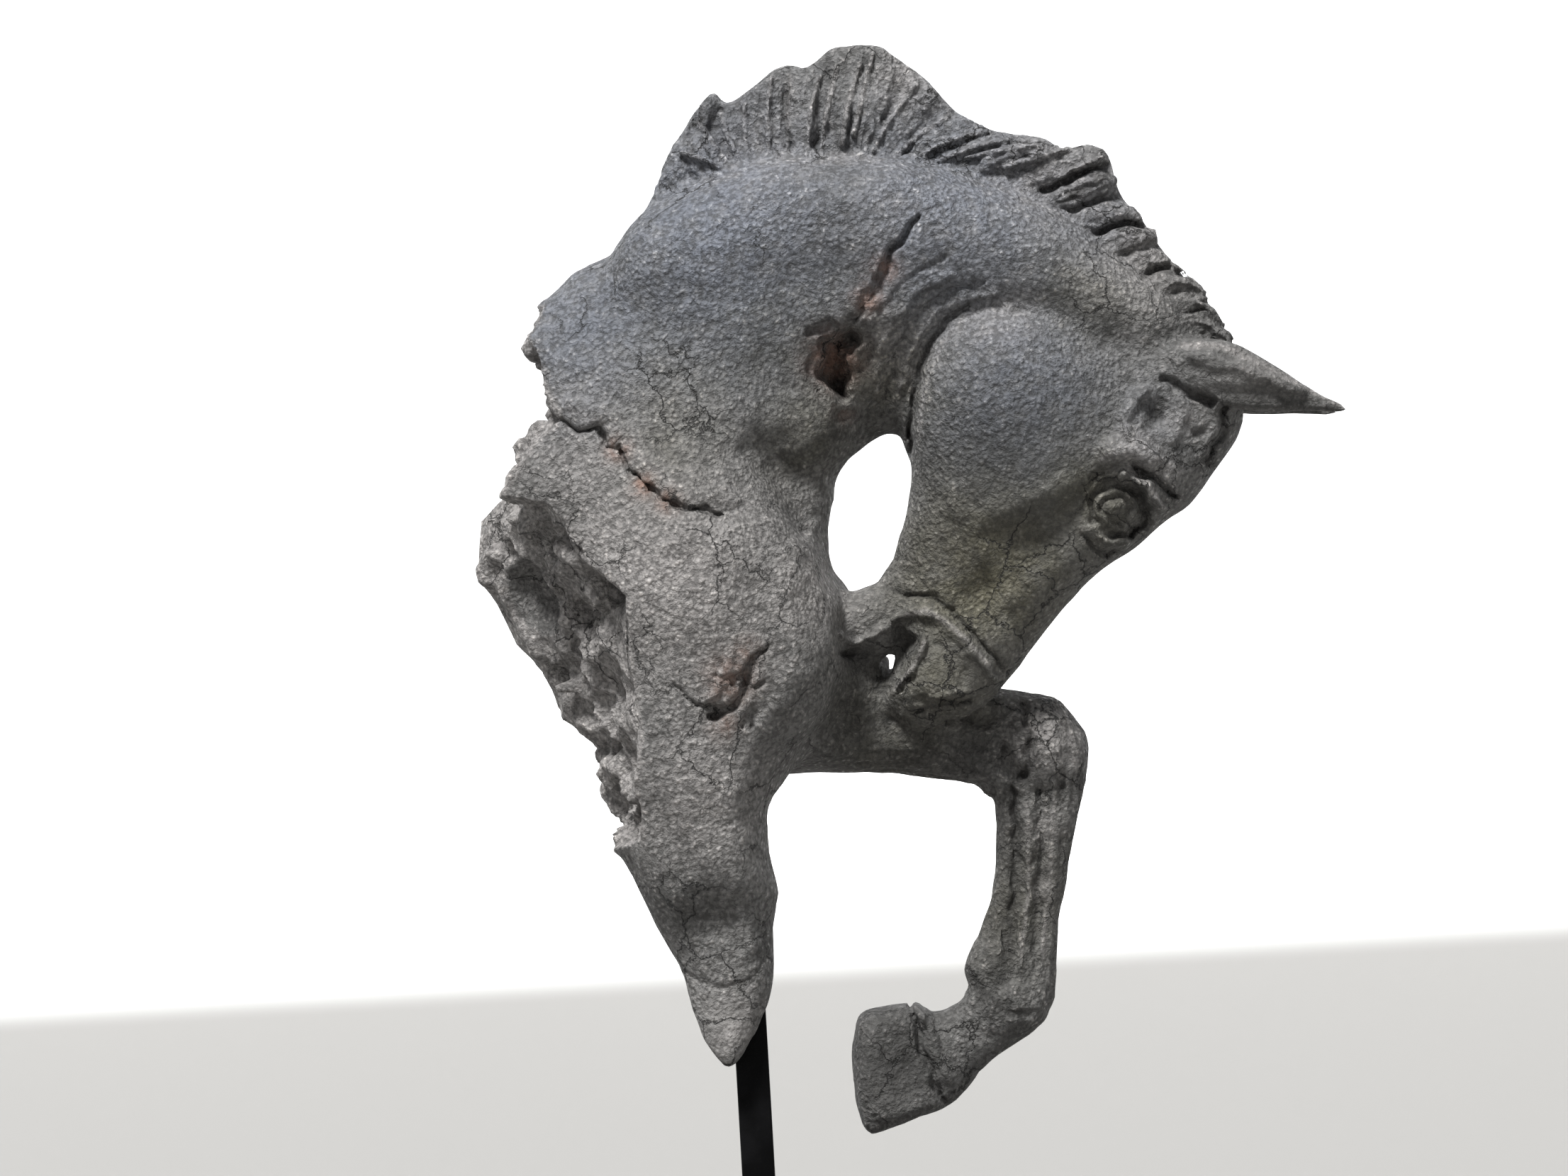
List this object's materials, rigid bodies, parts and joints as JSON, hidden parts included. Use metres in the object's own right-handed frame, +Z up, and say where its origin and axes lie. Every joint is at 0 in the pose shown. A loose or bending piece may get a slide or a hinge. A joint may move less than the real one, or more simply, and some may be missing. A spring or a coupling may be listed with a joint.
{
  "type": "horse sculpture",
  "caption": "Weathered ceramic fragment of a horse with arched neck, upright mane and raised foreleg, held on a square steel rod with a flat foot.",
  "frame": {"origin": "centre of the underside of the steel base plate", "axes": "+Z up along the rod, +X towards the side that the horse's raised foreleg and ear point to, +Y away from the viewer of its near side"},
  "size_m": [0.3181, 0.14, 0.4914],
  "materials": {
    "ceramic": "matte",
    "rod_steel": "satin",
    "base_steel": "satin"
  },
  "bodies": {
    "root": {"horse": "ceramic", "stand_rod": "rod_steel", "stand_base": "base_steel"}
  },
  "joints": []
}
